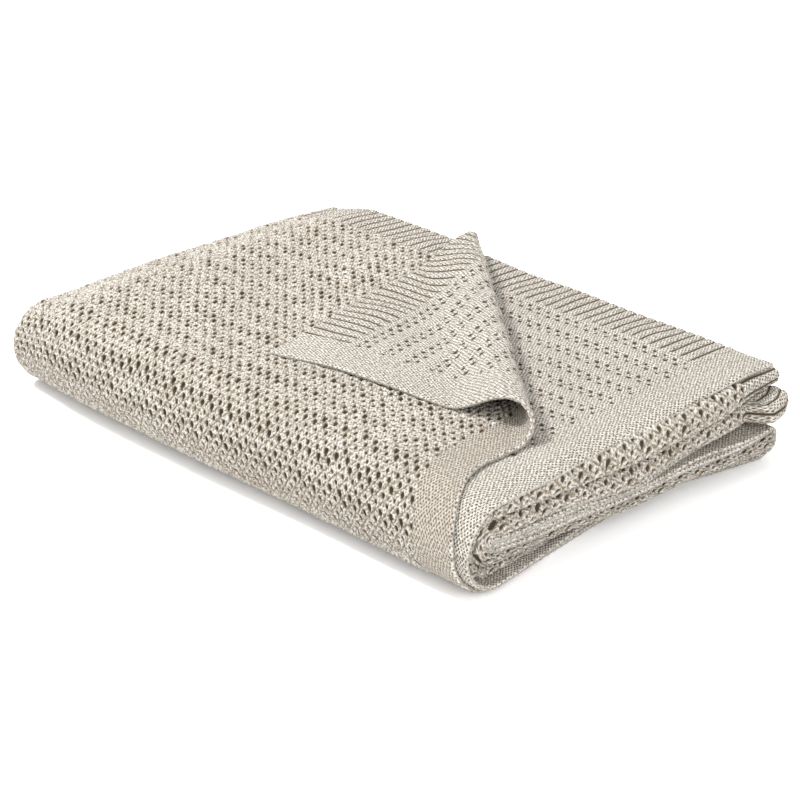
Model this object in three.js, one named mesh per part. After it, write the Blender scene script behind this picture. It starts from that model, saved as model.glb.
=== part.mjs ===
// A knitted throw, folded in four along its length and in four across its width, with the
// free corner of the top ply turned back.
//
// The throw is one sheet of cloth in five knit sections: the field, a ribbed border along each
// long edge and a plain hem along each short edge. Folding turns it into plies joined by bends,
// and each ply, bend, border and hem is one solid here. The sheet is first folded along its
// length, which gives a bundle of four plies, and the bundle is then folded across, so that it
// runs to and fro four times. Counted from the top of the stack, the bundle's runs hold the
// plies a b c d, then d c b a, then a b c d, then d c b a.
//
// Millimetres, +X along the stack's long side, +Y away from the near bend, +Z up. The origin is
// at the middle of the underside.

import * as THREE from 'three';

// Driving dimensions of the folded stack.
const stackLength = 460; // along X, over the rib corner that stands out on the right
const stackDepth = 308; // along Y
const plyThickness = 3.9;
const plyPitch = 4.25; // from one ply to the next
const gap = 0.35; // between neighbouring solids
const farBendInset = 3; // the far bend stands back from the ribbed ends above it
const nearBendInset = { hem: 9, fold: 6 }; // how far the near bends stop short of the right side

// Widths of the knit borders.
const ribWidth = 40;
const hemWidth = 36;

// How far the ends of each run lie inside the stack's right side.
const ribCornerReach = 11; // the folded rib corner that stands out past the other ends
const rightInset = {
  one: { selvedge: 3, bend: 1 },
  four: { selvedge: 2, bend: 0 },
  three: { selvedge: 2, bend: 4 },
  two: { selvedge: 1, bend: 6 },
};

// The turned-back corner of the top ply.
const topEdgeInsetNear = 8; // the top ply's selvedge, inside the stack's right side
const topEdgeInsetFar = 39; // the same edge, drawn in where the corner turns back
const creaseFarX = -83.5; // where the crease meets the far edge
const creaseNearY = -70; // where the crease meets the selvedge
const cornerTip = { x: -33.5, y: -84 }; // the sheet's corner, turned back
const rollRadiusFar = 6.5; // the crease is a soft roll, tighter at its far end
const rollRadiusNear = 11.5;
const rollEndInset = 12; // from the crease's ends to the roll's
const rollSteps = 6; // along the crease
const creaseMargin = 4; // from the crease line to the flat cloth on either side

// Places worked out from the dimensions above.
const plies = 16;
const halfPly = plyThickness / 2;
const levelMiddle = (level) => level * plyPitch + halfPly; // level 0 is the lowest ply
const topLevel = plies - 1;
const topOfStack = levelMiddle(topLevel) + halfPly;
const left = -stackLength / 2;
const ribCornerRight = stackLength / 2;
const right = ribCornerRight - ribCornerReach;
const near = -stackDepth / 2;
const far = stackDepth / 2;
const nearBendY = near + (levelMiddle(topLevel) - levelMiddle(0)) / 2 + halfPly;
const farBendY = far - (levelMiddle(7) - levelMiddle(0)) / 2 - halfPly - farBendInset;
const ribStartY = far - ribWidth;

// Each run's plies, by the level they lie at. Runs one and four end in ribs at the far side,
// runs three and two are joined there by a bend.
const runs = {
  one: { a: 15, b: 14, c: 13, d: 12, farEnd: ribStartY - gap, colour: '#d3cabc' },
  four: { a: 8, b: 9, c: 10, d: 11, farEnd: ribStartY - gap, colour: '#c8bead' },
  three: { a: 7, b: 6, c: 5, d: 4, farEnd: farBendY - gap, colour: '#cfc5b5' },
  two: { a: 0, b: 1, c: 2, d: 3, farEnd: farBendY - gap, colour: '#c4b9a7' },
};
const nearStart = nearBendY + gap;
const outerBendRadius = 1.5 * plyPitch; // around plies b and c, at the left end
const innerBendRadius = 0.5 * plyPitch;
const leftOuterX = left + outerBendRadius + halfPly;

const throwColours = { rib: '#d8cfc1', hem: '#dcd4c7', bend: '#cbc1b0' };
const blanket = new THREE.Group();

function knit(colour) {
  return new THREE.MeshStandardMaterial({ color: colour, roughness: 0.95, metalness: 0 });
}

function add(name, geometry, colour) {
  const mesh = new THREE.Mesh(geometry, knit(colour));
  mesh.name = name;
  blanket.add(mesh);
  return mesh;
}

// Flat plies -------------------------------------------------------------------------------

// A flat ply whose outline is a list of [x, y], at one level of the stack.
function flatPly(outline, level) {
  const shape = new THREE.Shape(outline.map(([x, y]) => new THREE.Vector2(x, y)));
  const geometry = new THREE.ExtrudeGeometry(shape, { depth: plyThickness, bevelEnabled: false });
  return geometry.translate(0, 0, levelMiddle(level) - halfPly);
}

function rectangle(x0, x1, y0, y1) {
  return [[x0, y0], [x1, y0], [x1, y1], [x0, y1]];
}

// Bends ------------------------------------------------------------------------------------

// A half turn of cloth about (u, v), which bulges towards -u when side is -1 and towards +u when
// side is 1. radius is measured to the middle of the ply.
function turn(u, v, radius, side) {
  return { u, v, radius, side, upward: true };
}

// The same half turn, followed from its high end to its low end.
function downward(half) {
  return { ...half, upward: false };
}

// Points of a half turn, offset to one face of the cloth, in the order it is followed.
function turnPoints(half, offset) {
  const radius = half.radius + offset;
  const steps = Math.max(4, Math.round(radius / 2) * 2);
  const points = [];
  for (let i = 0; i <= steps; i += 1) {
    const angle = (half.upward ? 1 : -1) * (-Math.PI / 2 + (Math.PI * i) / steps);
    const u = half.u + half.side * radius * Math.cos(angle);
    points.push(new THREE.Vector2(u, half.v + radius * Math.sin(angle)));
  }
  return points;
}

// One face of a strip of cloth that follows half turns joined by straight lengths. face is 1 for
// the face on the left of the way the strip runs, and -1 for the other.
function facePoints(turns, face) {
  return turns.flatMap((half) => {
    const outside = half.upward ? -half.side : half.side;
    return turnPoints(half, face * outside * halfPly);
  });
}

// The closed outline of a strip. start and end are optional straight ends: the strip sets out
// towards -u and comes back towards +u.
function stripShape(turns, start, end) {
  const faces = [1, -1].map((face) => {
    const points = facePoints(turns, face);
    if (start) points.unshift(new THREE.Vector2(start.x, start.y - face * halfPly));
    if (end) points.push(new THREE.Vector2(end.x, end.y + face * halfPly));
    return points;
  });
  return new THREE.Shape([...faces[0], ...faces[1].reverse()]);
}

// A strip drawn in the XZ plane and running along Y from y0 to y1.
function stripAlongY(shape, y0, y1) {
  const geometry = new THREE.ExtrudeGeometry(shape, { depth: y1 - y0, bevelEnabled: false });
  geometry.rotateX(Math.PI / 2);
  return geometry.translate(0, y1, 0);
}

// A strip drawn in the YZ plane and running along X from x0 to x1.
function stripAlongX(shape, x0, x1) {
  const geometry = new THREE.ExtrudeGeometry(shape, { depth: x1 - x0, bevelEnabled: false });
  geometry.rotateX(Math.PI / 2);
  geometry.rotateZ(Math.PI / 2);
  return geometry.translate(x0, 0, 0);
}

// A bend that joins two levels of the stack, about a line at u.
function bend(u, levelOne, levelTwo, side) {
  const heights = [levelMiddle(levelOne), levelMiddle(levelTwo)];
  return turn(u, (heights[0] + heights[1]) / 2, Math.abs(heights[0] - heights[1]) / 2, side);
}

// The runs ---------------------------------------------------------------------------------

const rightEnd = (run, part) => right - rightInset[run][part];
const rightBendX = (run) => rightEnd(run, 'bend') - innerBendRadius - halfPly;
const leftStart = leftOuterX + gap;

// Field plies, left and right bends and hems of one run. The top ply is left to its own section.
function addRun(name, run) {
  const selvedge = rightEnd(name, 'selvedge');
  const hemStart = selvedge - hemWidth;
  const endOfHem = name === 'one' || name === 'four' ? far : run.farEnd;
  const hemmed = hemStart - gap;
  const folded = rightBendX(name) - gap;
  const fieldEnds = { a: hemmed, b: hemmed, c: folded, d: folded };
  for (const ply of ['a', 'b', 'c', 'd']) {
    if (run[ply] === topLevel) continue;
    const outline = rectangle(leftStart, fieldEnds[ply], nearStart, run.farEnd);
    add(`run_${name}_ply_${ply}_field`, flatPly(outline, run[ply]), run.colour);
  }
  for (const ply of ['a', 'b']) {
    if (run[ply] === topLevel) continue;
    const outline = rectangle(hemStart, selvedge, nearStart, endOfHem);
    add(`run_${name}_ply_${ply}_hem`, flatPly(outline, run[ply]), throwColours.hem);
  }
  const bends = {
    left_outer_bend: bend(leftOuterX, run.a, run.d, -1),
    left_inner_bend: bend(leftOuterX, run.b, run.c, -1),
    right_bend: bend(rightBendX(name), run.c, run.d, 1),
  };
  for (const [place, half] of Object.entries(bends)) {
    const geometry = stripAlongY(stripShape([half]), nearStart, run.farEnd);
    add(`run_${name}_${place}`, geometry, throwColours.bend);
  }
}

// The rib border ---------------------------------------------------------------------------

// The turns of a rib border from the left outer bend to its end on ply b, by way of ply d, the
// right bend, ply c and the left inner bend.
function ribTurns(run, cornerX) {
  const outer = bend(leftOuterX, run.a, run.d, -1);
  const corner = bend(cornerX, run.c, run.d, 1);
  const inner = bend(leftOuterX, run.b, run.c, -1);
  const aIsOnTop = run.a > run.d;
  return aIsOnTop ? [downward(outer), corner, inner] : [outer, downward(corner), downward(inner)];
}

function addRibs() {
  const stop = (name, ply) => {
    const x = rightEnd(name, 'selvedge') - hemWidth - gap;
    return new THREE.Vector2(x, levelMiddle(runs[name][ply]));
  };
  const upper = stripShape(ribTurns(runs.one, rightBendX('one')), null, stop('one', 'b'));
  add('run_one_rib', stripAlongY(upper, ribStartY, far), throwColours.rib);
  const cornerX = ribCornerRight - innerBendRadius - halfPly;
  const lower = stripShape(ribTurns(runs.four, cornerX), stop('four', 'a'), stop('four', 'b'));
  add('run_four_rib', stripAlongY(lower, ribStartY, far), throwColours.rib);
}

// The bends that join the runs -------------------------------------------------------------

// Near bends join run one to run two and, inside them, run four to run three. Far bends join
// run three to run two. Each ply has its own bend, one inside the next.
function addBendsBetweenRuns() {
  const hemmed = right - nearBendInset.hem;
  const folded = right - nearBendInset.fold;
  const endX = { a: hemmed, b: hemmed, c: folded, d: folded };
  for (const ply of ['a', 'b', 'c', 'd']) {
    const bends = {
      near_outer_bend: bend(nearBendY, runs.one[ply], runs.two[ply], -1),
      near_inner_bend: bend(nearBendY, runs.four[ply], runs.three[ply], -1),
      far_bend: bend(farBendY, runs.three[ply], runs.two[ply], 1),
    };
    for (const [place, half] of Object.entries(bends)) {
      const geometry = stripAlongX(stripShape([half]), leftStart, endX[ply]);
      add(`${place}_ply_${ply}`, geometry, runs.one.colour);
    }
  }
}

// The top ply and its turned-back corner ---------------------------------------------------

const edgeFarX = right - topEdgeInsetFar;
const edgeNearX = right - topEdgeInsetNear;
const creaseFar = new THREE.Vector2(creaseFarX, far);
const creaseNear = new THREE.Vector2(edgeFarX, creaseNearY);
const creaseX = (y) => {
  const share = (far - y) / (far - creaseNearY);
  return THREE.MathUtils.lerp(creaseFar.x, creaseNear.x, share);
};
const creaseY = (x) => far - ((x - creaseFar.x) / (creaseNear.x - creaseFar.x)) * (far - creaseNearY);

function addTopPly() {
  const level = runs.one.a;
  const hemFarX = edgeFarX - hemWidth;
  const hemNearX = edgeNearX - hemWidth;
  const cut = (y) => [creaseX(y) - creaseMargin, y];
  const fieldStop = cut(creaseY(hemFarX - gap));
  const hemStop = cut(creaseY(hemFarX));
  const field = [
    [leftStart, nearStart],
    [hemNearX - gap, nearStart],
    [fieldStop[0] - gap, fieldStop[1]],
    cut(ribStartY - gap),
    [leftStart, ribStartY - gap],
  ];
  const hem = [[hemNearX, nearStart], [edgeNearX, nearStart], cut(creaseNearY), hemStop];
  const rib = [[leftStart, ribStartY], cut(ribStartY), cut(far), [leftStart, far]];
  add('run_one_ply_a_field', flatPly(field, level), runs.one.colour);
  add('run_one_ply_a_hem', flatPly(hem, level), throwColours.hem);
  add('run_one_ply_a_rib', flatPly(rib, level), throwColours.rib);
}

// A place on the turned-back corner, in plan. hem and rib are shares of the way from its tip to the
// crease, along its hem edge and along its ribbed edge.
function cornerPlace(hem, rib) {
  const tip = new THREE.Vector2(cornerTip.x, cornerTip.y);
  const place = tip.clone();
  place.addScaledVector(creaseNear.clone().sub(tip), hem);
  return place.addScaledVector(creaseFar.clone().sub(tip), rib);
}

// Distance of a point from the line through two others, in plan.
function distanceToLine(point, from, to) {
  const along = to.clone().sub(from).normalize();
  return Math.abs(along.cross(point.clone().sub(from)));
}

// The plane of the turned-back corner's underside: it touches the top ply at its tip, and is
// held up by the crease roll along its other side.
function flapPlane() {
  const lift = (radius) => topOfStack + 2 * radius - plyThickness;
  return new THREE.Plane().setFromCoplanarPoints(
    new THREE.Vector3(cornerTip.x, cornerTip.y, topOfStack + gap),
    new THREE.Vector3(creaseFar.x, creaseFar.y, lift(rollRadiusFar)),
    new THREE.Vector3(creaseNear.x, creaseNear.y, lift(rollRadiusNear)),
  );
}

// A flat piece of the turned-back corner, from its outline in shares.
function flapPiece(outline) {
  const shape = new THREE.Shape(outline.map(([hem, rib]) => cornerPlace(hem, rib)));
  const geometry = new THREE.ExtrudeGeometry(shape, { depth: plyThickness, bevelEnabled: false });
  const plane = flapPlane();
  const position = geometry.getAttribute('position');
  for (let i = 0; i < position.count; i += 1) {
    const x = position.getX(i);
    const y = position.getY(i);
    const height = -(plane.constant + plane.normal.x * x + plane.normal.y * y) / plane.normal.z;
    position.setZ(i, position.getZ(i) + height);
  }
  geometry.computeVertexNormals();
  return geometry;
}

function addFlap() {
  const tip = cornerPlace(0, 0);
  const ribShare = ribWidth / distanceToLine(creaseNear, tip, creaseFar);
  const hemShare = hemWidth / distanceToLine(creaseFar, tip, creaseNear);
  const clear = gap / distanceToLine(creaseFar, tip, creaseNear);
  const last = 1 - creaseMargin / distanceToLine(tip, creaseFar, creaseNear);
  const afterHem = hemShare + clear;
  const afterRib = ribShare + clear;
  const hem = [[0, 0], [last, 0], [last - hemShare, hemShare], [0, hemShare]];
  const rib = [[0, afterHem], [0, last], [ribShare, last - ribShare], [ribShare, afterHem]];
  const field = [
    [afterRib, afterHem],
    [afterRib, last - afterRib],
    [last - afterHem, afterHem],
  ];
  add('turned_corner_rib', flapPiece(rib), throwColours.rib);
  add('turned_corner_hem', flapPiece(hem), throwColours.hem);
  add('turned_corner_field', flapPiece(field), runs.four.colour);
}

// The soft roll of cloth at the crease: a half turn whose radius grows from the far end to the
// near end, while the cloth keeps its thickness.
function addCreaseRoll() {
  const length = creaseFar.distanceTo(creaseNear) - 2 * rollEndInset;
  const section = stripShape([turn(0, 0, rollRadiusFar, 1)]);
  const settings = { depth: length, steps: rollSteps, bevelEnabled: false };
  const geometry = new THREE.ExtrudeGeometry(section, settings);
  const direction = creaseNear.clone().sub(creaseFar).normalize();
  const outward = new THREE.Vector2(-direction.y, direction.x);
  const position = geometry.getAttribute('position');
  for (let i = 0; i < position.count; i += 1) {
    const u = position.getX(i);
    const v = position.getY(i);
    const distance = rollEndInset + position.getZ(i);
    const share = distance / (length + 2 * rollEndInset);
    const radius = THREE.MathUtils.lerp(rollRadiusFar, rollRadiusNear, share);
    const reach = Math.hypot(u, v);
    const scale = (reach + radius - rollRadiusFar) / reach;
    const place = creaseFar.clone().addScaledVector(direction, distance);
    place.addScaledVector(outward, u * scale);
    position.setXYZ(i, place.x, place.y, topOfStack - halfPly + radius + v * scale);
  }
  geometry.computeVertexNormals();
  add('turned_corner_crease', geometry, throwColours.bend);
}

for (const [name, run] of Object.entries(runs)) addRun(name, run);
addRibs();
addBendsBetweenRuns();
addTopPly();
addFlap();
addCreaseRoll();

export default blanket;
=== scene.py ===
"""A folded knitted throw: its cloth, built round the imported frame.

The throw is one knitted sheet, folded in four along its length and in four across its width.
fold() takes a place on the flat cloth to its place in the folded stack. Each piece is a part of
the sheet that moves together: a closed sheet with a right side and a wrong side, each a grid of
points that follows the folds and carries the knit's relief.
p runs along the cloth from one hem to the other, and v across it from one ribbed edge to the
other. Lengths are in millimetres until a mesh is made.
"""

import math

import bpy
import numpy as np
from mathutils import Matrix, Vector


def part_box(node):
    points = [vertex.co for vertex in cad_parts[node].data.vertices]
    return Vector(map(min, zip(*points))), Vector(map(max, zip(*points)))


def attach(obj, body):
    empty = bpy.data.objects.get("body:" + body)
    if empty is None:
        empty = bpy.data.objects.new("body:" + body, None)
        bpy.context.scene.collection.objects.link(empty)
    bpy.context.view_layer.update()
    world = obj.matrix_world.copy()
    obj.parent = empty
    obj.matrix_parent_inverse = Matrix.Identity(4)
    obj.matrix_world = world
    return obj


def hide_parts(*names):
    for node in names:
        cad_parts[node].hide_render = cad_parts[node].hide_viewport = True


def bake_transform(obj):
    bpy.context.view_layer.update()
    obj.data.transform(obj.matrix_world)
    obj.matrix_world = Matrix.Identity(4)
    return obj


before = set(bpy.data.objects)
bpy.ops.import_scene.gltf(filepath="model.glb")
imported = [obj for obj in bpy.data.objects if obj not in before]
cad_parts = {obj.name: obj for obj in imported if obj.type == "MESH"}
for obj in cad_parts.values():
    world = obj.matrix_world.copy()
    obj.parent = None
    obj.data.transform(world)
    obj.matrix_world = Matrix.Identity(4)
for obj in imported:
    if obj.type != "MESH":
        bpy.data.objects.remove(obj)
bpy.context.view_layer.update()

MM = 0.001


def node_box(name):
    """Lowest and highest corner of a CAD node, in millimetres."""
    return [np.array(corner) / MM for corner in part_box(name)]


# ---------------------------------------------------------------------------------------------
# Driving dimensions, from the frame where it has them.

BASE_LOW, BASE_HIGH = node_box("run_two_ply_a_field")
TOP_HIGH = node_box("run_one_ply_a_field")[1]
PLIES = 16
PLY = BASE_HIGH[2] - BASE_LOW[2]
PITCH = (TOP_HIGH[2] - BASE_HIGH[2]) / (PLIES - 1)
TOP = TOP_HIGH[2]
FAR = node_box("run_one_rib")[1][1]
NEAR = node_box("near_outer_bend_ply_a")[0][1]
RIGHT = node_box("run_one_right_bend")[1][0]
RIB_CORNER = node_box("run_four_rib")[1][0]
LEFT = node_box("run_one_left_outer_bend")[0][0]
NEAR_BEND_Y, FAR_BEND_Y = BASE_LOW[1], BASE_HIGH[1]

RIB_WIDTH = 40.0
HEM_WIDTH = 35.0
THICK = {"field": 3.1, "rib": 3.3, "hem": 3.3}

# The knit: one repeat along the cloth for the ribs and the openwork, and rows across it.
REPEAT = 9.2
ROW = 4.85
ROWS_PER_BAND = 4
SKEW = 0.19  # how far the field's pattern leans along the cloth, for each millimetre across it

# Steps of the meshes: fine where the knit shows, coarse where it is hidden.
FINE = 0.8
MEDIUM = 1.3
COARSE = 8.0

# Cloth lengths of the stretches along p, hem to hem, and along v, edge to edge.
P_NAMES = ["A", "AD", "D", "DC", "C", "CB", "B"]
P_LENGTHS = [441.0, 20.0, 432.0, 20.0, 432.0, 8.0, 447.0]
V_NAMES = ["one", "near_outer", "two", "far", "three", "near_inner", "four"]
TOP_RUN = FAR - NEAR_BEND_Y
LOW_RUN = FAR_BEND_Y - NEAR_BEND_Y
V_LENGTHS = [TOP_RUN, 100.0, LOW_RUN, 33.0, LOW_RUN, 26.0, TOP_RUN]
P_MARKS = dict(zip(P_NAMES, np.cumsum([0.0] + P_LENGTHS[:-1])))
V_MARKS = dict(zip(V_NAMES, np.cumsum([0.0] + V_LENGTHS[:-1])))
P_LENGTH = dict(zip(P_NAMES, P_LENGTHS))
V_LENGTH = dict(zip(V_NAMES, V_LENGTHS))
P_END = sum(P_LENGTHS)
V_END = sum(V_LENGTHS)


def smooth(x, low, high):
    """0 below low, 1 above high and an even ramp between."""
    t = np.clip((x - low) / (high - low), 0, 1)
    return t * t * (3 - 2 * t)


WAVES = 5
WAVES_PEAK = 2.6  # their sum seldom goes past this


def wave_noise(x, y, seed, size):
    """Soft, even noise from a few turned sine waves, about -1 to 1. size is their length."""
    random = np.random.default_rng(seed)
    total = 0.0
    for _ in range(WAVES):
        angle, phase = random.uniform(0, 2 * math.pi, 2)
        k = 2 * math.pi / (size * random.uniform(0.75, 1.5))
        total = total + np.sin(k * (x * math.cos(angle) + y * math.sin(angle)) + phase)
    return total / WAVES_PEAK


# ---------------------------------------------------------------------------------------------
# The stack: the height of each level of the pile.

# Level of each ply in each run, from 0 at the bottom.
LEVELS = {
    "one": dict(a=15, b=14, c=13, d=12),
    "four": dict(a=8, b=9, c=10, d=11),
    "three": dict(a=7, b=6, c=5, d=4),
    "two": dict(a=0, b=1, c=2, d=3),
}
# Room at the right end for the hems of the lowest two plies, of the four plies in the middle and
# of the top ply.
LOW_HEMS = 6.4
MIDDLE_HEMS = 10.4
TOP_HEM = 3.2
# Half a ply's thickness there, in the folded ends and in the hems between them.
HALF_END = 1.75
HALF_HEM = 1.4
# Height of the two upper folded ends at their corners, and how much they puff up between them.
FIRST_END, FIRST_PUFF = 11.5, 7.5
SECOND_END, SECOND_PUFF = 12.0, 2.0


def end_height(level, y):
    """Height of a level at the stack's right end, where the folded ends puff up and press the
    hems between them thin."""
    swell = np.sin(math.pi * np.clip((y - NEAR) / (FAR - NEAR), 0.02, 0.98)) ** 0.7
    first = FIRST_END + FIRST_PUFF * swell + 0.8 * wave_noise(y, 0, 11, 70)
    second = SECOND_END + SECOND_PUFF * swell + 0.6 * wave_noise(y, 0, 12, 60)
    top = TOP - 1.0 - 3.5 * smooth(y, NEAR_BEND_Y + 20, FAR)
    inner = top - LOW_HEMS - MIDDLE_HEMS - TOP_HEM - first - second
    folded = LOW_HEMS + inner + MIDDLE_HEMS
    if level < 2:
        return HALF_END + level * (LOW_HEMS - TOP_HEM) + 0 * y
    if level < 6:
        return LOW_HEMS + HALF_END + (inner - 2 * HALF_END) * (level - 2) / 3
    if level < 10:
        return LOW_HEMS + inner + HALF_HEM + (MIDDLE_HEMS - 2 * HALF_HEM) * (level - 6) / 3
    return {
        10: folded + HALF_END,
        11: folded + second - HALF_END,
        12: folded + second + HALF_END,
        13: folded + second + first - HALF_END,
        14: top - 1.5,
        15: top + 1.8,
    }[level]


# How far the top levels hang down at the far side, at the right edge and at the left end.
FAR_DROOP = {15: 3.0, 14: 2.5, 13: 1.5, 12: 0.5}
EDGE_DROOP = {14: 5.0}
LEFT_DROOP = {15: 9.0, 14: 7.0, 13: 4.0, 12: 1.0}
END_REACH = 75  # how far from the right end its own heights are felt


def height(level, x, y, firm=1.0):
    """Height of the middle of one level at x, y. A lower firm lets the edges droop less."""
    flat = level * PITCH + PLY / 2
    z = flat + (end_height(level, y) - flat) * smooth(x, RIGHT - END_REACH, RIGHT - 8)
    z = z - firm * FAR_DROOP.get(level, 0) * smooth(y, FAR - 36, FAR + 12) ** 1.3
    z = z - firm * LEFT_DROOP.get(level, 0) * smooth(-x, -LEFT - 50, -LEFT + 4) ** 1.2
    z = z - EDGE_DROOP.get(level, 0) * smooth(x, RIGHT - 20, RIGHT - 2) * smooth(y, -150, -60)
    share = max(level - 7.5, 0) / 7.5
    soft = 1.2 * wave_noise(x, y, 3, 150) + 0.6 * wave_noise(x, y, 4, 60)
    loose = 1 if level > 13 else 0.2
    return z + soft * share * smooth(y, NEAR_BEND_Y - 4, NEAR_BEND_Y + 36) * loose


# ---------------------------------------------------------------------------------------------
# The turned-back corner of the top ply, in plan.

# The crease's two ends, and the sheet's corner where it lies turned back.
CREASE_FAR = np.array([-80.0, 151.0])
CREASE_NEAR = np.array([180.0, -70.0])
FLAP_TIP = np.array([-33.5, -84.0])
ALONG = (CREASE_NEAR - CREASE_FAR) / np.linalg.norm(CREASE_NEAR - CREASE_FAR)
OUTWARD = np.array([-ALONG[1], ALONG[0]])
CREASE_LENGTH = float(np.linalg.norm(CREASE_NEAR - CREASE_FAR))
ROLL_FAR, ROLL_NEAR = 6.5, 11.5  # radius of the crease's roll at its two ends
STRIP = 3.0  # flat cloth before the crease that belongs to the roll's piece
FLAP_REST = 3.8  # height of the flap's middle over the top ply's, where it lies on it
FLAP_WAVE = 0.5  # half of how much the flap waves there
FLAP_SETTLES = 38  # how far from the roll the flap comes down to the stack
TIP_ALONG = float((FLAP_TIP - CREASE_FAR) @ ALONG)
TIP_BACK = -float((FLAP_TIP - CREASE_FAR) @ OUTWARD)
TIP_ROLL = math.pi * (ROLL_FAR + (ROLL_NEAR - ROLL_FAR) * TIP_ALONG / CREASE_LENGTH)
# Where the sheet's corner would lie unfolded, and so the x of the selvedge that is drawn in there.
CORNER = CREASE_FAR + TIP_ALONG * ALONG + (TIP_BACK + TIP_ROLL) * OUTWARD
DRAWN_IN = float(CORNER[0])


def crease_y(x):
    """y of the line where the roll's piece begins, just short of the crease."""
    return CREASE_FAR[1] - (STRIP + (x - CREASE_FAR[0]) * OUTWARD[0]) / OUTWARD[1]


# ---------------------------------------------------------------------------------------------
# Folding: from a place on the flat cloth to its place in the stack.

# Plies at the two ends of each stretch along p.
LETTERS = {"A": "a", "AD": "ad", "D": "d", "DC": "dc", "C": "c", "CB": "cb", "B": "b"}
OUTER_REACH = 1.5 * PITCH  # of the left bend that goes round two plies
INNER_REACH = 0.5 * PITCH  # of the left bend between two plies
RIGHT_REACH = 8.5  # most that a right bend reaches out
NEAR_BULGE = 3.0  # how far the near bend swells, left of the middle
TOP_REACH = 5.0  # how far the top ply reaches past the far edge


def stretch_of(t, names, marks, lengths):
    """Which stretch each t lies on, and how far along it, from 0 to 1."""
    starts = np.array([marks[n] for n in names])
    index = np.clip(np.searchsorted(starts, t, side="right") - 1, 0, len(names) - 1)
    sizes = np.array([lengths[n] for n in names])
    return index, np.clip((t - starts[index]) / sizes[index], 0, 1)


def inset(v, steps):
    """How far the right end stands back from the frame's. steps holds, for each run, insets at even
    steps along it; between runs the inset goes evenly round the bend."""
    places, values = [], []
    for run, insets in steps.items():
        share = np.linspace(0, 1, len(insets))
        places.extend(V_MARKS[run] + share * V_LENGTH[run])
        values.extend(insets)
    return np.interp(v, places, values)


# How far the ends of each run's hems and folds stand back from the frame's right side.
HEM_INSETS = {
    "a": dict(one=(19, 9, 10), two=(8, 17, 24, 22, 9), three=(1, 8, 9), four=(8, 8, 20)),
    "b": dict(one=(19, 9, -1), two=(4, 15, 24, 22, 9), three=(1, 8, 7), four=(6, 8, 20)),
}
FOLD_INSETS = dict(one=(14, 2, 5), two=(14, 20, 23, 19, 5), three=(-3, 8, 12), four=(8, 3, 12))


def hem_end(letter, v):
    """x of the hem's edge on the right. Ply a's is drawn in where its corner is turned back."""
    wander = 1.3 * wave_noise(v, 0, 41 if letter == "a" else 42, 90)
    end = RIGHT - inset(v, HEM_INSETS[letter]) + wander
    if letter == "b":
        return end
    share = smooth(-v, -TOP_RUN - 55, -TOP_RUN + 30)
    return np.where(v < V_MARKS["two"], end * (1 - share) + DRAWN_IN * share, end)


def fold_end(v):
    """x of the folded end on the right. Its ribbed corner stands out as a tab."""
    tab = smooth(v, V_END - 34, V_END - 22) * (1 - 0.3 * smooth(v, V_END - 14, V_END))
    wander = 1.4 * wave_noise(v, 0, 43, 80)
    return RIGHT - inset(v, FOLD_INSETS) + wander + (RIB_CORNER - RIGHT + 5.0) * tab


def left_end(v):
    """x of the folded end on the left."""
    return LEFT - 3 + 1.5 * wave_noise(v, 0, 44, 90)


# y of the two ends of each run, in the order in which v goes along it.
RUN_ENDS = {
    "one": (FAR + TOP_REACH, NEAR_BEND_Y),
    "two": (NEAR_BEND_Y, FAR_BEND_Y),
    "three": (FAR_BEND_Y, NEAR_BEND_Y),
    "four": (NEAR_BEND_Y, FAR),
}


def run_place(letter, name, x, f):
    """y and z of one ply at x, and at f of the way along one run."""
    start, end = RUN_ENDS[name]
    y = start + (end - start) * f
    return y, height(LEVELS[name][letter], x, y)


def bend_place(letter, i, x, f):
    """y and z of one ply at x, and at f of the way round the bend with number i in V_NAMES."""
    far = V_NAMES[i] == "far"
    side, centre_y = (1, FAR_BEND_Y) if far else (-1, NEAR_BEND_Y)
    z0 = height(LEVELS[V_NAMES[i - 1]][letter], x, centre_y + 0 * x)
    z1 = height(LEVELS[V_NAMES[i + 1]][letter], x, centre_y + 0 * x)
    swollen = smooth(x, LEFT + 20, LEFT + 90) * (1 - smooth(x, -60, 60))
    bulge = NEAR_BULGE * swollen * (V_NAMES[i] == "near_outer")
    y = centre_y + side * (np.abs(z1 - z0) / 2 + bulge) * np.sin(math.pi * f)
    return y, (z0 + z1) / 2 + (z0 - z1) / 2 * np.cos(math.pi * f)


def ply_place(letter, x, v):
    """y and z of one ply of the bundle at x, for each v."""
    index, f = stretch_of(v, V_NAMES, V_MARKS, V_LENGTH)
    y, z = np.zeros(v.shape), np.zeros(v.shape)
    for i, name in enumerate(V_NAMES):
        m = index == i
        if not m.any():
            continue
        if name in LEVELS:
            y[m], z[m] = run_place(letter, name, x[m], f[m])
        else:
            y[m], z[m] = bend_place(letter, i, x[m], f[m])
    return y, z


def right_bend(v):
    """x where the right bend begins, and how far it reaches out from there."""
    edge = np.full(v.shape, RIGHT)
    y_c, z_c = ply_place("c", edge, v)
    y_d, z_d = ply_place("d", edge, v)
    reach = np.minimum(np.hypot(y_c - y_d, z_c - z_d) / 2, RIGHT_REACH)
    return fold_end(v) - reach - THICK["field"] / 2, reach


def stretch_x(name, f, v, left, right, reach):
    """x at f of the way along one stretch. left and right are where the bends begin, and reach is
    how far the right bend goes out from there."""
    if name == "A":
        return hem_end("a", v) * (1 - f) + left * f
    if name == "AD":
        return left - OUTER_REACH * 1.1 * np.sin(math.pi * f)
    if name == "D":
        return left * (1 - f) + right * f
    if name == "DC":
        return right + reach * np.sin(math.pi * f)
    if name == "C":
        return right * (1 - f) + left * f
    if name == "CB":
        return left - INNER_REACH * np.sin(math.pi * f)
    return left * (1 - f) + hem_end("b", v) * f


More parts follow.
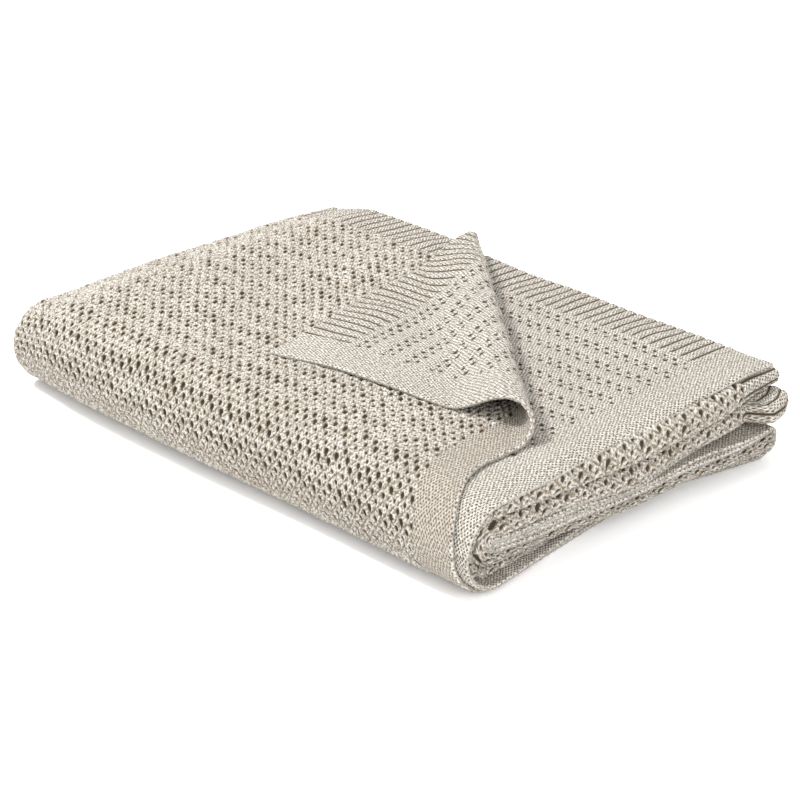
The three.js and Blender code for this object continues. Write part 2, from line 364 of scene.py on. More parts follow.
def stretch_yz(name, f, v, x):
    """y and z at f of the way along one stretch. A bend goes from its first ply to its second."""
    letters = LETTERS[name]
    y, z = ply_place(letters[0], x, v)
    if len(letters) > 1:
        y1, z1 = ply_place(letters[1], x, v)
        share = (1 - np.cos(math.pi * f)) / 2
        y, z = y + (y1 - y) * share, z + (z1 - z) * share
    return y, z


def fold(p, v):
    """Middle of the cloth at p, v, and the place along the knit that the pattern is drawn at."""
    index, f = stretch_of(p, P_NAMES, P_MARKS, P_LENGTH)
    left = left_end(v) + OUTER_REACH
    right, reach = right_bend(v)
    points = np.zeros(p.shape + (3,))
    pattern = p.copy()
    for i, name in enumerate(P_NAMES):
        m = index == i
        if not m.any():
            continue
        x = stretch_x(name, f[m], v[m], left[m], right[m], reach[m])
        y, z = stretch_yz(name, f[m], v[m], x)
        points[m] = np.stack([x, y, z], -1)
        if name == "A":
            pattern[m] = P_LENGTH["A"] - (x - left[m])
    return points, pattern


def fold_corner(p, v):
    """The turned-back corner: flat on the stack up to the crease, round the roll and back."""
    x, y = CORNER[0] - p, CORNER[1] - v
    s = (x - CREASE_FAR[0]) * ALONG[0] + (y - CREASE_FAR[1]) * ALONG[1]
    d = (x - CREASE_FAR[0]) * OUTWARD[0] + (y - CREASE_FAR[1]) * OUTWARD[1]
    radius = ROLL_FAR + (ROLL_NEAR - ROLL_FAR) * np.clip(s / CREASE_LENGTH, -0.1, 1.1)
    radius = radius + 0.5 * wave_noise(s, 0, 51, 70)
    angle = np.clip(d / radius, 0, math.pi)
    back = np.maximum(d - math.pi * radius, 0)
    reach = np.where(d < 0, d, radius * np.sin(angle) - back)
    rest = FLAP_REST + FLAP_WAVE * (1 + wave_noise(x, y, 52, 55)) * smooth(back, 20, 60)
    lift = radius * (1 - np.cos(angle))
    lift = lift + (rest - 2 * radius) * smooth(back, 0, FLAP_SETTLES)
    px = CREASE_FAR[0] + s * ALONG[0] + reach * OUTWARD[0]
    py = CREASE_FAR[1] + s * ALONG[1] + reach * OUTWARD[1]
    firm = 1 - 0.55 * smooth(d, 0, 2 * ROLL_FAR)
    z = height(15, px, np.minimum(py, FAR), firm) + lift
    return np.stack([px, py, z], -1), p


# ---------------------------------------------------------------------------------------------
# The knit's relief in millimetres at pattern place p, v, about 0 on average, and where shade is
# painted into its colour.


def cell_random(p, v, seed):
    """One random number from 0 to 1 for each cell of the half-drop lattice. The factors are large
    and uneven, so that neighbouring cells have nothing in common."""
    j = np.floor(v / ROW)
    i = np.floor(p / REPEAT + (j % 2) * 0.5)
    h = np.sin(i * 127.1 + j * 311.7 + seed * 74.7) * 43758.5453
    return h - np.floor(h)


def cells(p, v, lean):
    """Distance from the middle of the nearest cell of a half-drop lattice, 1 at the cells' edges,
    the place in that cell and the row of the cell within its band."""
    nearest = np.full(np.shape(p), 9.0)
    row = np.zeros(np.shape(p), int)
    across, along = np.zeros(np.shape(p)), np.zeros(np.shape(p))
    for near in (-1, 0, 1):
        j = np.floor(v / ROW) + near
        b = (v - (j + 0.5) * ROW) / ROW
        a = (p + lean * b * ROW) / REPEAT + (j % 2) * 0.5
        a = (a % 1 - 0.5) * 2
        q = (np.abs(a) ** 1.5 + np.abs(b) ** 1.5) ** (1 / 1.5)
        closer = q < nearest
        nearest = np.where(closer, q, nearest)
        across, along = np.where(closer, a, across), np.where(closer, b, along)
        row = np.where(closer, (j % ROWS_PER_BAND).astype(int), row)
    return nearest, across, along, row


# Lean of a right side's cell, and the size and depth of the pits in each row of a band.
CELL_LEAN = -0.22
PIT_SIZES = np.array((0.80, 1.0, 0.94, 0.72))
PIT_DEPTHS = np.array((0.85, 1.0, 1.0, 0.75))
# The wrong side's eyelets: depth in each row of a band, half width, half height and lean.
EYELET_DEPTHS = (0.25, 0.85, 1.0, 0.3)
EYELET_WIDTH = 1.8
EYELET_TALL = 1.35
EYELET_LEAN = -0.2


def field_right(p, v):
    """Right side of the field: a net of thick loops, each round its own pit. The second value is
    where
    shade is painted: dark in the pits and fainter along the seams between the loops.
    """
    p = p + SKEW * v + 0.5 * wave_noise(p, v, 21, 30)
    v = v + 0.45 * wave_noise(p, v, 22, 34)
    chance = cell_random(p, v, 1)
    q, across, along, row = cells(p, v, CELL_LEAN)
    size = PIT_SIZES[row] * (0.78 + 0.44 * chance)
    place = np.hypot((across + 0.55 * along) / 0.40, (along - 0.3 * np.abs(across) + 0.06) / 0.52)
    pit = PIT_DEPTHS[row] * (1 - smooth(place, 0.55 * size, 1.15 * size))
    seam = smooth(q, 0.74, 0.92)
    strand = np.exp(-(((q - 0.70) / 0.2) ** 2))
    relief = 1.25 * strand * (0.7 + 0.6 * chance) - 0.9 * pit - 0.5 * seam
    return relief, np.maximum(pit, 0.40 * seam)


def eyelets(p, v):
    """Pits in a half-drop lattice whose depth repeats from row to row."""
    total = 0.0
    for near in (-1, 0, 1):
        j = np.floor(v / ROW) + near
        a = ((p / REPEAT + (j % 2) * 0.5) % 1 - 0.5) * REPEAT
        b = v - (j + 0.5) * ROW
        deep = np.array(EYELET_DEPTHS)[(j % ROWS_PER_BAND).astype(int)]
        across = (a + EYELET_LEAN * b) / EYELET_WIDTH
        total = total + deep * np.exp(-(across**2) - (b / EYELET_TALL) ** 2)
    return total


def field_wrong(p, v):
    """Wrong side of the field: smooth bands with a double row of small eyelets between them. Shade
    is painted into the eyelets.
    """
    p = p + 0.35 * wave_noise(p, v, 23, 30)
    v = v + 0.35 * wave_noise(p, v, 24, 34)
    chance = cell_random(p, v, 2)
    pits = eyelets(p, v) * (0.6 + 0.6 * chance)
    band = np.cos(2 * math.pi * (v / (ROW * ROWS_PER_BAND) - 0.1))
    return 0.5 * band - 1.4 * pits, smooth(pits, 0.16, 0.60)


def ribs(p, v):
    """The ribbed border: round ridges with narrow grooves, where shade is painted."""
    place = (p / REPEAT + 0.08 * wave_noise(p, v, 27, 40)) % 1
    ridge = 1 - np.abs(2 * place - 1) ** 3
    return 1.6 * ridge - 1.0, 0.8 * smooth(-ridge, -0.72, -0.2)


def plain(p, v, side):
    """The plain hem, almost flat. Its right side has a little painted shade all over it."""
    relief = 0.16 * wave_noise(p, v, 25, 9) + 0.1 * wave_noise(p, v, 28, 4.5)
    return relief, 0 * p + (0.16 if side > 0 else 0.0)


def relief_of(p, v, pattern, side):
    """Relief, painted-shade mask, thickness and fineness. The mask is 0 on the yarn and 1 in a hole,
    where shade is painted; fine is 1 where the stitches are small. side is 1 on the right side and -1
    on the wrong side."""
    wander = 1.0 * wave_noise(p, v, 26, 25)
    rib_edge = np.minimum(v, V_END - v) + wander
    hem_edge = np.minimum(p, P_END - p) + wander
    hem = 1 - smooth(hem_edge, HEM_WIDTH - 2.0, HEM_WIDTH + 2.0)
    rib = (1 - smooth(rib_edge, RIB_WIDTH - 2.5, RIB_WIDTH + 2.5)) * (1 - hem)
    body = 1 - rib - hem
    field = field_right if side > 0 else field_wrong
    knits = [field(pattern, v), ribs(pattern, v), plain(pattern, v, side)]
    shares = (body, rib, hem)
    relief, painted_shade = (sum(share * knit[i] for share, knit in zip(shares, knits)) for i in (0, 1))
    thick = body * THICK["field"] + rib * THICK["rib"] + hem * THICK["hem"]
    fine = 1 - body * (0.4 if side > 0 else 0.0)
    return relief, painted_shade, thick, fine


# ---------------------------------------------------------------------------------------------
# Meshes


def samples(start, end, spans):
    """Places from start to end. spans are (from, to, step); elsewhere the step is coarse."""
    marks = [start]
    while marks[-1] < end - 1e-6:
        here = marks[-1]
        steps = [step for a, b, step in spans if a - 1e-6 <= here < b - 1e-6]
        step = min(steps) if steps else COARSE
        ahead = [a - here for a, b, _ in spans if a - here > 1e-6]
        finest = min([s for _, _, s in spans], default=COARSE)
        if ahead:
            step = min(step, max(min(ahead), finest))
        marks.append(min(here + step, end))
    if len(marks) > 2 and marks[-1] - marks[-2] < 0.4 * (marks[-2] - marks[-3]):
        marks.pop(-2)
    return np.array(marks)


def detail_of(t, spans):
    """1 where the spans are fine enough to carry the knit's relief, and 0 elsewhere."""
    share = np.zeros(len(t))
    for a, b, _ in spans:
        share = np.maximum(share, smooth(t, a - 4, a + 0.1) * (1 - smooth(t, b - 0.1, b + 4)))
    return share


def grid_normals(points):
    """Unit normals of a grid of points, towards the cloth's right side."""
    du = np.gradient(points, axis=1)
    dv = np.gradient(points, axis=0)
    n = np.cross(du, dv)
    return n / np.maximum(np.linalg.norm(n, axis=-1, keepdims=True), 1e-9)


def zip_lines(first, second, at_first, at_second):
    """Triangles between two lines of vertices with their own places from start to end."""
    triangles, i, j = [], 0, 0
    while i < len(first) - 1 or j < len(second) - 1:
        done_second = j == len(second) - 1
        if done_second or (i < len(first) - 1 and at_first[i + 1] <= at_second[j + 1]):
            triangles.append((first[i], second[j], first[i + 1]))
            i += 1
        else:
            triangles.append((first[i], second[j], second[j + 1]))
            j += 1
    return triangles


def quads(ids, flip):
    """Faces of a grid of vertex numbers."""
    a, b, c, d = ids[:-1, :-1], ids[:-1, 1:], ids[1:, 1:], ids[1:, :-1]
    order = (a, d, c, b) if flip else (a, b, c, d)
    return np.stack([x.ravel() for x in order], -1)


def number_points(sides):
    """Vertex numbers of the two sides' grids, and how many there are in all."""
    ids, count = [], 0
    for side in sides:
        shape = side["points"].shape[:2]
        ids.append(np.arange(count, count + shape[0] * shape[1]).reshape(shape))
        count += shape[0] * shape[1]
    return ids, count


def rim_triangles(ids, sides):
    """Triangles that join the right side's four edges to the wrong side's."""
    right, wrong = ids
    columns = [side["p"] for side in sides]
    rows = [side["v"] for side in sides]
    rims = zip_lines(right[0], wrong[0], *columns)
    rims += [t[::-1] for t in zip_lines(right[-1], wrong[-1], *columns)]
    rims += [t[::-1] for t in zip_lines(right[:, 0], wrong[:, 0], *rows)]
    rims += zip_lines(right[:, -1], wrong[:, -1], *rows)
    return np.array(rims)


def add_faces(mesh, faces, rims):
    """Smooth faces of four corners and flat rim triangles. Returns the vertex at each corner."""
    corners = np.concatenate([faces.ravel(), rims.ravel()]).astype(np.int32)
    sizes = np.concatenate([np.full(len(faces), 4), np.full(len(rims), 3)]).astype(np.int32)
    starts = np.concatenate([[0], np.cumsum(sizes)[:-1]]).astype(np.int32)
    mesh.loops.add(len(corners))
    mesh.loops.foreach_set("vertex_index", corners)
    mesh.polygons.add(len(sizes))
    mesh.polygons.foreach_set("loop_start", starts)
    mesh.polygons.foreach_set("loop_total", sizes)
    mesh.polygons.foreach_set("use_smooth", sizes == 4)
    mesh.update(calc_edges=True)
    return corners


def mesh_of(name, sides):
    """A closed sheet from its right and its wrong side."""
    ids, count = number_points(sides)
    mesh = bpy.data.meshes.new(name)
    mesh.vertices.add(count)
    points = np.concatenate([side["points"].reshape(-1, 3) for side in sides]) * MM
    mesh.vertices.foreach_set("co", points.astype(np.float32).ravel())
    faces = np.concatenate([quads(ids[0], False), quads(ids[1], True)])
    corners = add_faces(mesh, faces, rim_triangles(ids, sides))
    uv = np.concatenate([side["uv"].reshape(-1, 2) for side in sides]) * MM
    layer = mesh.uv_layers.new(name="Cloth")
    layer.data.foreach_set("uv", uv[corners].astype(np.float32).ravel())
    for key in ("painted_shade", "fine"):
        values = np.concatenate([side[key].ravel() for side in sides]).astype(np.float32)
        mesh.attributes.new(key, "FLOAT", "POINT").data.foreach_set("value", values)
    obj = bpy.data.objects.new(name, mesh)
    bpy.context.scene.collection.objects.link(obj)
    return obj


EDGE_ROUND = 1.8  # width of the rounding at the cloth's own edges
EDGE_PLAIN = (0.1, 0.9)  # the painted-shade mask falls to -1 here, which leaves the rim without painted shade


def one_side(place, side, p, v, spans, warp):
    """One side of a piece: the folded cloth moved out by half its thickness and its relief."""
    grid_p, grid_v = np.meshgrid(p, v)
    detail = detail_of(p, spans[0])[None, :] * detail_of(v, spans[1])[:, None]
    if warp:
        grid_v = warp(grid_p, grid_v)
    centre, pattern = place(grid_p, grid_v)
    normal = grid_normals(centre)
    relief, painted_shade, thick, fine = relief_of(grid_p, grid_v, pattern, side)
    to_hem = np.minimum(grid_p, P_END - grid_p)
    to_rib_edge = np.minimum(grid_v, V_END - grid_v)
    edge = np.minimum(to_hem, to_rib_edge)
    t = np.clip(edge / EDGE_ROUND, 0, 1)
    share = np.sqrt(np.maximum(1 - (1 - t) ** 2, 0.02))
    out = side * (thick / 2 + relief * detail) * share
    return dict(
        points=centre + normal * out[..., None],
        uv=np.stack([pattern + SKEW * grid_v * (side > 0), grid_v], -1),
        painted_shade=painted_shade * detail - (1 - smooth(edge, *EDGE_PLAIN)),
        fine=fine,
        p=p,
        v=v,
    )


def piece(name, p_range, v_range, right, wrong, nodes, place=fold, warp=None):
    """One closed sheet of the cloth. right and wrong are (spans along p, spans along v), where
    that side of the cloth is fine."""
    sides = []
    for side, spans in ((1, right), (-1, wrong)):
        p = samples(*p_range, spans[0])
        v = samples(*v_range, spans[1])
        sides.append(one_side(place, side, p, v, spans, warp))
    obj = mesh_of(name, sides)
    obj.data.materials.append(KNIT)
    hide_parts(*nodes)
    return obj


# ---------------------------------------------------------------------------------------------
# Material


class Nodes:
    """Short names for making and joining shader nodes."""

    def __init__(self, tree):
        self.tree = tree

    def new(self, kind, **settings):
        node = self.tree.nodes.new("ShaderNode" + kind)
        for key, value in settings.items():
            setattr(node, key, value)
        return node

    def put(self, socket, value):
        if isinstance(value, bpy.types.NodeSocket):
            self.tree.links.new(value, socket)
        else:
            socket.default_value = value

    def math(self, operation, *values):
        node = self.new("Math", operation=operation)
        for socket, value in zip(node.inputs, values):
            self.put(socket, value)
        return node.outputs[0]

    def mix(self, factor, first, second):
        node = self.new("Mix", data_type="RGBA")
        self.put(node.inputs["Factor"], factor)
        self.put(node.inputs["A"], first)
        self.put(node.inputs["B"], second)
        return node.outputs["Result"]

    def noise(self, vector, scale, detail, rough=0.55):
        node = self.new("TexNoise")
        self.put(node.inputs["Vector"], vector)
        self.put(node.inputs["Scale"], scale)
        self.put(node.inputs["Detail"], detail)
        self.put(node.inputs["Roughness"], rough)
        return node.outputs["Fac"]

    def ramp(self, value, low, high):
        node = self.new("MapRange", clamp=True)
        self.put(node.inputs["Value"], value)
        self.put(node.inputs["From Min"], low)
        self.put(node.inputs["From Max"], high)
        return node.outputs["Result"]

    def attribute(self, name):
        return self.new("Attribute", attribute_name=name).outputs["Fac"]


STITCH_WIDE = 2.5 * MM
STITCH_TALL = 2.0 * MM
WANDER_SCALE = 170.0  # of the noise that moves the stitches about
WANDER_REACH = 2.2 * MM
# Colours of the yarn in the chunky and in the fine stitches and of its flecks, and the painted
# shade between fine stitches, at a slit's rim (also laid thinly over the hem's right side) and in a
# slit's depth.
LIGHT_CHUNKY = (0.60, 0.575, 0.525, 1)
LIGHT_FINE = (0.645, 0.62, 0.57, 1)
WARM_FLECK = (0.27, 0.225, 0.17, 1)
STITCH_SHADE = (0.075, 0.056, 0.036, 1)
SLIT_SHADE = (0.20, 0.15, 0.097, 1)
SLIT_DEPTH_SHADE = (0.04, 0.029, 0.018, 1)


def stitch_height(n, uv):
    """Small stitches in a half-drop pattern, from 0 in the gaps between them to 1."""
    split = n.new("SeparateXYZ")
    n.put(split.inputs[0], uv)
    across = n.math("COSINE", n.math("MULTIPLY", split.outputs[0], 2 * math.pi / STITCH_WIDE))
    along = n.math("COSINE", n.math("MULTIPLY", split.outputs[1], math.pi / STITCH_TALL))
    return n.math("MULTIPLY_ADD", n.math("MULTIPLY", across, along), 0.5, 0.5)


def moved_stitches(n, uv):
    """The cloth's place, moved a little by noise so that no two stitches are alike."""
    wander = n.new("TexNoise")
    n.put(wander.inputs["Vector"], uv)
    n.put(wander.inputs["Scale"], WANDER_SCALE)
    shift = n.new("VectorMath", operation="SCALE")
    n.put(shift.inputs[0], wander.outputs["Color"])
    n.put(shift.inputs["Scale"], WANDER_REACH)
    moved = n.new("VectorMath", operation="ADD")
    n.put(moved.inputs[0], uv)
    n.put(moved.inputs[1], shift.outputs[0])
    return moved.outputs[0]


def yarn_colour_with_painted_shade(n, uv, stitch, painted_shade, fine):
    """Flecked yarn with painted shade: darker between the stitches and dark in the slits."""
    fleck = n.noise(uv, scale=480.0, detail=3.0, rough=0.75)
    patch = n.noise(uv, scale=14.0, detail=2.0)
    light = n.mix(fine, LIGHT_CHUNKY, LIGHT_FINE)
    colour = n.mix(n.ramp(fleck, 0.46, 0.60), light, WARM_FLECK)
    colour = n.mix(n.math("MULTIPLY", n.ramp(patch, 0.35, 0.7), 0.18), colour, WARM_FLECK)
    between_stitch_shade = n.math("MULTIPLY", n.ramp(stitch, 0.50, 0.18), n.math("MULTIPLY", fine, 0.95))
    off_rim = n.ramp(painted_shade, -1.0, -0.2)
    colour = n.mix(n.math("MULTIPLY", between_stitch_shade, off_rim), colour, STITCH_SHADE)
    colour = n.mix(n.math("MULTIPLY", n.ramp(painted_shade, 0.06, 0.34), 0.85), colour, SLIT_SHADE)
    return n.mix(n.math("MULTIPLY", n.ramp(painted_shade, 0.36, 0.66), 0.97), colour, SLIT_DEPTH_SHADE)


def knit_material():
    """Heathered beige cotton yarn."""
    material = bpy.data.materials.new("heathered_cotton_knit")
    material.use_nodes = True
    n = Nodes(material.node_tree)
    shader = material.node_tree.nodes["Principled BSDF"]
    uv = n.new("UVMap", uv_map="Cloth").outputs[0]
    painted_shade, fine = n.attribute("painted_shade"), n.attribute("fine")
    stitch = stitch_height(n, moved_stitches(n, uv))
    # The base colour carries painted shade between the stitches, in the slits and over the hem's
    # right side.
    n.put(shader.inputs["Base Color"], yarn_colour_with_painted_shade(n, uv, stitch, painted_shade, fine))
    n.put(shader.inputs["Roughness"], 0.92)
    n.put(shader.inputs["Sheen Weight"], 0.08)
    n.put(shader.inputs["Sheen Roughness"], 0.6)
    n.put(shader.inputs["Specular IOR Level"], 0.18)
    bump = n.new("Bump")
    n.put(bump.inputs["Strength"], 1.0)
    n.put(bump.inputs["Distance"], 1.0 * MM)
    fibre = n.noise(uv, scale=1900.0, detail=3.0, rough=0.7)
    raised = n.math("MULTIPLY", stitch, n.math("MULTIPLY_ADD", fine, 0.7, 0.3))
    n.put(bump.inputs["Height"], n.math("MULTIPLY_ADD", fibre, 0.5, raised))
    n.put(shader.inputs["Normal"], bump.outputs[0])
    return material


KNIT = knit_material()


# ---------------------------------------------------------------------------------------------
# Pieces

RUN_PARTS = ("field", "hem")
TUCK = 30.0  # how far a cut between two pieces lies from the left bend, inside the stack
P_CUT_LEFT = P_MARKS["D"] + TUCK
P_CUT_INNER = P_MARKS["B"] + TUCK
EDGE_FINE = 0.6
# Steps round the wide bends, the tighter ones and the innermost one.
BEND_STEP = 2.0
TIGHT_STEP = 1.5
INNER_STEP = 0.8
BESIDE = 8  # close columns and rows go on this far past a bend
EDGE_STRIP = 3  # width of the finest strip along an edge
HEM_STRIP = 12  # and of the close one beside it
EDGE_SPAN = (0, EDGE_STRIP, EDGE_FINE)
HEM_SPAN = (EDGE_STRIP, HEM_STRIP, MEDIUM)
LAST_EDGE = (P_END - EDGE_STRIP, P_END, EDGE_FINE)


def names(run, letters, kinds=("field",)):
    """CAD node names of one run's plies, such as run_one_ply_a_field."""
    return [f"run_{run}_ply_{letter}_{kind}" for letter in letters for kind in kinds]


def hem_spans():
    """Close columns near the two hems' edges."""
    last_hem = (P_END - HEM_STRIP, P_END - EDGE_STRIP, MEDIUM)
    return [EDGE_SPAN, HEM_SPAN, last_hem, LAST_EDGE]


def round_bend(first, last, step, marks=V_MARKS):
    """Close rows, or columns, from just before one stretch to just past the start of another."""
    return (marks[first] - BESIDE, marks[last] + BESIDE, step)


RIGHT_FOLD = (P_MARKS["DC"] - 14, P_MARKS["C"] + 14, FINE)
LEFT_OUTER = round_bend("AD", "D", BEND_STEP, P_MARKS)
LEFT_INNER = round_bend("CB", "B", TIGHT_STEP, P_MARKS)
NEAR_OUTER = round_bend("near_outer", "two", BEND_STEP)
FAR_ROWS = round_bend("far", "three", TIGHT_STEP)
NEAR_INNER = (V_MARKS["near_inner"], V_MARKS["four"], INNER_STEP)


def declare(obj, area=None):
    """Returns the piece as it is; the area that it is given is not used."""
    if area is not None:
        area = area * MM * MM
    return obj


def cut_start(p):
    """v where the top cloth begins: its ribbed edge, or the line beside the crease."""
    left = LEFT + 4 + OUTER_REACH
    f = np.clip(p / P_LENGTH["A"], 0, 1)
    x = DRAWN_IN * (1 - f) + left * f
    return np.maximum(FAR + TOP_REACH - crease_y(x), 0) * TOP_RUN / (TOP_RUN + TOP_REACH)


def top_warp(p, v):
    """Rows of the top cloth, closed up towards the crease."""
    last = TOP_RUN - 20
    start = cut_start(p)
    return np.where(v < last, start + (last - start) * v / last, v)


def top_cloth():
    """Ply a of the outer runs, without the turned corner."""
    fine_p = [EDGE_SPAN, (EDGE_STRIP, P_MARKS["D"] + 6, FINE)]
    plain_p = [EDGE_SPAN, HEM_SPAN, LEFT_OUTER]
    above = (0, V_MARKS["two"] + BESIDE, FINE)
    below = (V_MARKS["two"] + BESIDE, V_MARKS["far"], MEDIUM)
    nodes = names("one", "a", ("field", "rib", "hem")) + names("two", "a", RUN_PARTS)
    nodes += ["near_outer_bend_ply_a", "run_one_left_outer_bend", "run_two_left_outer_bend"]
    size = (P_CUT_LEFT, V_MARKS["far"])
    right = (fine_p, [EDGE_SPAN, above, below])
    wrong = (plain_p, [EDGE_SPAN, NEAR_OUTER])
    obj = piece("top_cloth", (0, size[0]), (0, size[1]), right, wrong, nodes, warp=top_warp)
    area = size[0] * size[1] - 0.5 * CORNER_P * CORNER_V
    return declare(obj, area)


def second_cloth():
    """Ply b of the outer runs."""
    shown = P_END - (RIGHT + 90)
    fine_p = [(shown, P_END - EDGE_STRIP, FINE), LAST_EDGE]
    rows = [EDGE_SPAN, (0, TOP_RUN - 40, FINE), NEAR_OUTER]
    nodes = names("one", "b", RUN_PARTS) + names("two", "b", RUN_PARTS)
    nodes += ["near_outer_bend_ply_b"]
    size = (P_END - P_CUT_INNER, V_MARKS["far"])
    right = (hem_spans(), [EDGE_SPAN, NEAR_OUTER])
    obj = piece("second_cloth", (P_CUT_INNER, P_END), (0, size[1]), right, (fine_p, rows), nodes)
    return declare(obj)


def outer_folded_cloth():
    """Plies c and d of the outer runs, with the bends between them and to their neighbours."""
    nodes = names("one", "cd") + names("two", "cd")
    nodes += ["near_outer_bend_ply_c", "near_outer_bend_ply_d", "run_one_rib"]
    for bend in ("left_inner_bend", "right_bend"):
        nodes += [f"run_{run}_{bend}" for run in ("one", "two")]
    size = (P_CUT_INNER - P_CUT_LEFT, V_MARKS["far"])
    right = ([RIGHT_FOLD, LEFT_INNER], [EDGE_SPAN, (0, size[1], FINE)])
    wrong = ([RIGHT_FOLD[:2] + (BEND_STEP,), LEFT_INNER], [EDGE_SPAN, NEAR_OUTER])
    p_range = (P_CUT_LEFT, P_CUT_INNER)
    obj = piece("outer_folded_cloth", p_range, (0, size[1]), right, wrong, nodes)
    return declare(obj)


def inner_cloth(name, v_range, nodes):
    """Four plies of the inner runs, with both hems and all their bends."""
    up_to_bend = (HEM_STRIP, P_MARKS["AD"] - BESIDE, MEDIUM)
    left_outer = round_bend("AD", "D", MEDIUM, P_MARKS)
    right_p = hem_spans() + [up_to_bend, left_outer, RIGHT_FOLD, LEFT_INNER]
    wrong_p = hem_spans() + [
        round_bend(first, last, BEND_STEP, P_MARKS)
        for first, last in (("AD", "D"), ("DC", "C"), ("CB", "B"))
    ]
    rows = [FAR_ROWS, NEAR_INNER, (V_END - EDGE_STRIP, V_END, EDGE_FINE)]
    right = (right_p, [(0, V_END, MEDIUM)] + rows)
    obj = piece(name, (0, P_END), v_range, right, (wrong_p, rows), nodes)
    return declare(obj)


def inner_nodes(run):
    """CAD nodes of one of the inner runs."""
    bends = [f"run_{run}_{bend}" for bend in ("left_outer_bend", "left_inner_bend", "right_bend")]
    return names(run, "abcd") + names(run, "ab", ("hem",)) + bends


ROLL_CLEAR = 2.0  # flat flap that still belongs to the roll's piece
LAST_ROW = 1.5  # least depth of the rows together, where a piece closes up to a point


def roll_end_y(x):
    """y of the line where the roll at the crease ends and the turned-back flap begins."""
    grow = math.pi * (ROLL_NEAR - ROLL_FAR) / CREASE_LENGTH
    back = math.pi * ROLL_FAR + ROLL_CLEAR
    across = x - CREASE_FAR[0]
    reach = back - across * (OUTWARD[0] - grow * ALONG[0])
    return CREASE_FAR[1] + reach / (OUTWARD[1] - grow * ALONG[1])


def flap_depth(p):
    """How far the flap reaches along v from the ribbed edge."""
    return CORNER[1] - roll_end_y(CORNER[0] - p)


def roll_depth(p):
    """How far the roll reaches along v from the ribbed edge."""
    return CORNER[1] - crease_y(CORNER[0] - p)


# How far the roll and the flap reach from the sheet's corner, along p and along v.
CORNER_P = float((CORNER - CREASE_FAR)[0] + (CORNER - CREASE_FAR)[1] * OUTWARD[1] / OUTWARD[0])
CORNER_V = float(roll_depth(0.0))
FLAP_V = float(flap_depth(0.0))
FLAP_P = FLAP_V * CORNER_P / float(flap_depth(0.0) - flap_depth(CORNER_P))


def flap_warp(p, v):
    """Rows of the flap, closed up towards its far end."""
    return v / FLAP_V * np.maximum(flap_depth(p), LAST_ROW)


def roll_warp(p, v):
    """Rows of the roll, between the flap and the flat cloth."""
    low = np.maximum(flap_depth(p), 0)
    high = np.maximum(roll_depth(p), low + LAST_ROW)
    return low + v / (CORNER_V - FLAP_V) * (high - low)


def crease_roll():
    """The roll of cloth at the crease, where the corner is turned back."""
    size = (CORNER_P, CORNER_V - FLAP_V)
    spans = ([EDGE_SPAN, (EDGE_STRIP, CORNER_P, FINE)], [(0, CORNER_V, FINE)])
    obj = piece(
        "crease_roll_cloth", (0, size[0]), (0, size[1]), spans, spans,
        ["turned_corner_crease"], place=fold_corner, warp=roll_warp,
    )
    return declare(obj, 0.5 * (CORNER_P * CORNER_V - FLAP_P * FLAP_V))


def turned_corner():
    """The flap of the top ply that is turned back."""
    spans = tuple([EDGE_SPAN, (EDGE_STRIP, reach, FINE)] for reach in (FLAP_P, FLAP_V))
    nodes = ["turned_corner_rib", "turned_corner_hem", "turned_corner_field"]
    obj = piece(
        "turned_corner_cloth", (0, FLAP_P), (0, FLAP_V), spans, spans, nodes,
        place=fold_corner, warp=flap_warp,
    )
    return declare(obj, 0.5 * FLAP_P * FLAP_V)


def blend_halves(obj):
    """The piece crosses the near bend."""
    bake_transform(obj)


def blend_roll(obj):
    """The roll's transform is baked into its mesh; it is tied to no body."""
    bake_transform(obj)


def build_cloth():
    """All the pieces, each attached to its body or with its transform baked into its mesh."""
    for obj in (top_cloth(), second_cloth(), outer_folded_cloth()):
        blend_halves(obj)
    lower = (V_MARKS["far"], V_MARKS["near_inner"])
    bend = (V_MARKS["near_inner"], V_MARKS["four"])
    upper = (V_MARKS["four"], V_END)
    far_nodes = [f"far_bend_ply_{letter}" for letter in "abcd"]
    near_nodes = [f"near_inner_bend_ply_{letter}" for letter in "abcd"]
    low_nodes = inner_nodes("three") + far_nodes
    high_nodes = inner_nodes("four") + ["run_four_rib"]
    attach(inner_cloth("lower_inner_cloth", lower, low_nodes), "lower_half")
    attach(inner_cloth("upper_inner_cloth", upper, high_nodes), "upper_half")
    blend_halves(inner_cloth("inner_bend_cloth", bend, near_nodes))
    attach(turned_corner(), "turned_corner")
    blend_roll(crease_roll())


build_cloth()


# ---------------------------------------------------------------------------------------------
# Stage: floor, light and camera

FLOOR_SIZE = 6.0
FLOOR_DROP = 0.4 * MM  # the cloth's lowest stitches sink a little into the floor
FLOOR_GLOW = 0.12
LIGHT_AIM = Vector((0, 0, 0.03))


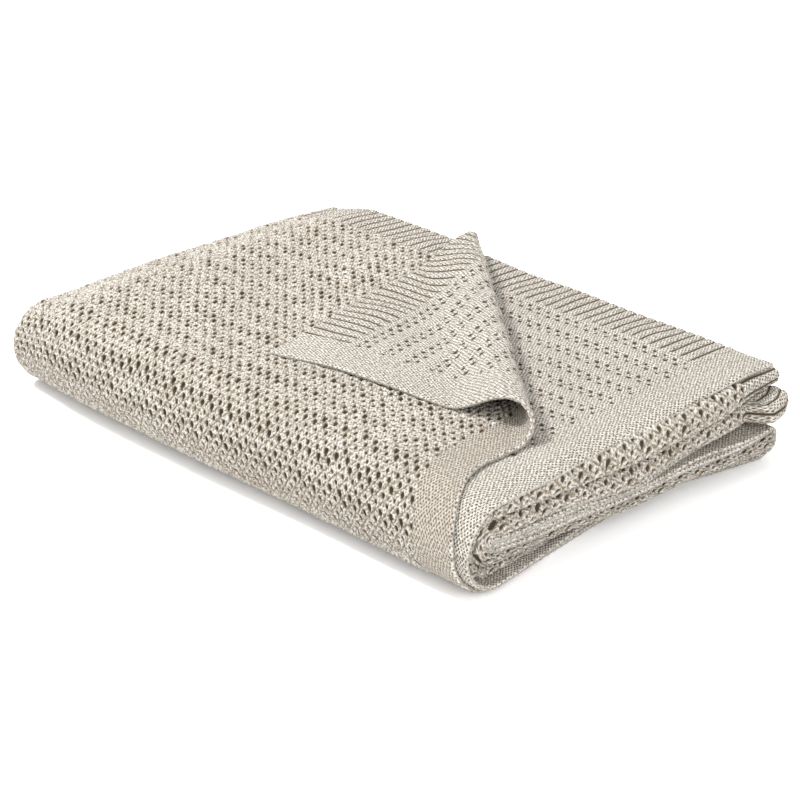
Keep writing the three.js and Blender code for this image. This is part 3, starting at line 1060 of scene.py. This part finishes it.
def floor():
    """A pale, matt ground that glows a little, so that shadows stay faint."""
    mesh = bpy.data.meshes.new("floor")
    corners = [(-1, -1), (1, -1), (1, 1), (-1, 1)]
    points = [(x * FLOOR_SIZE, y * FLOOR_SIZE, 0) for x, y in corners]
    mesh.from_pydata(points, [], [(0, 1, 2, 3)])
    obj = bpy.data.objects.new("floor", mesh)
    bpy.context.scene.collection.objects.link(obj)
    material = bpy.data.materials.new("white_ground")
    material.use_nodes = True
    shader = material.node_tree.nodes["Principled BSDF"]
    shader.inputs["Base Color"].default_value = (0.93, 0.93, 0.93, 1)
    shader.inputs["Roughness"].default_value = 0.9
    shader.inputs["Specular IOR Level"].default_value = 0.1
    shader.inputs["Emission Color"].default_value = (1, 1, 1, 1)
    shader.inputs["Emission Strength"].default_value = FLOOR_GLOW
    mesh.materials.append(material)
    obj.location.z = -FLOOR_DROP


def area_light(name, place, size, power):
    """A round soft light that faces the stack."""
    data = bpy.data.lights.new(name, "AREA")
    data.shape = "DISK"
    data.size = size
    data.energy = power
    obj = bpy.data.objects.new(name, data)
    bpy.context.scene.collection.objects.link(obj)
    obj.location = place
    obj.rotation_euler = (LIGHT_AIM - Vector(place)).to_track_quat("-Z", "Y").to_euler()


def lights():
    """A key light from the left, a fill from the right and a white sky."""
    area_light("key", place=(-1.5, -0.7, 2.3), size=0.7, power=95)
    area_light("fill", place=(2.0, -1.0, 1.3), size=2.0, power=40)
    world = bpy.data.worlds.new("studio")
    world.use_nodes = True
    background = world.node_tree.nodes["Background"]
    background.inputs[0].default_value = (1, 1, 1, 1)
    background.inputs[1].default_value = 1.0
    bpy.context.scene.world = world


AIM = Vector((-5.5, -4, 34)) * MM
AZIMUTH, ELEVATION = math.radians(46.1), math.radians(24.5)
DISTANCE = 1.8


def camera():
    """A long lens that looks down on the near long side and the right short side."""
    data = bpy.data.cameras.new("camera")
    data.lens = 118.6
    data.sensor_width = 36
    data.shift_x = 0.0181
    data.shift_y = -0.027
    data.clip_start = 0.05
    obj = bpy.data.objects.new("camera", data)
    bpy.context.scene.collection.objects.link(obj)
    flat = math.cos(ELEVATION)
    away = Vector((math.sin(AZIMUTH) * flat, -math.cos(AZIMUTH) * flat, math.sin(ELEVATION)))
    obj.location = AIM + away * DISTANCE
    obj.rotation_euler = (-away).to_track_quat("-Z", "Y").to_euler()
    bpy.context.scene.camera = obj


bpy.context.scene.view_settings.view_transform = "Standard"
floor()
lights()
camera()
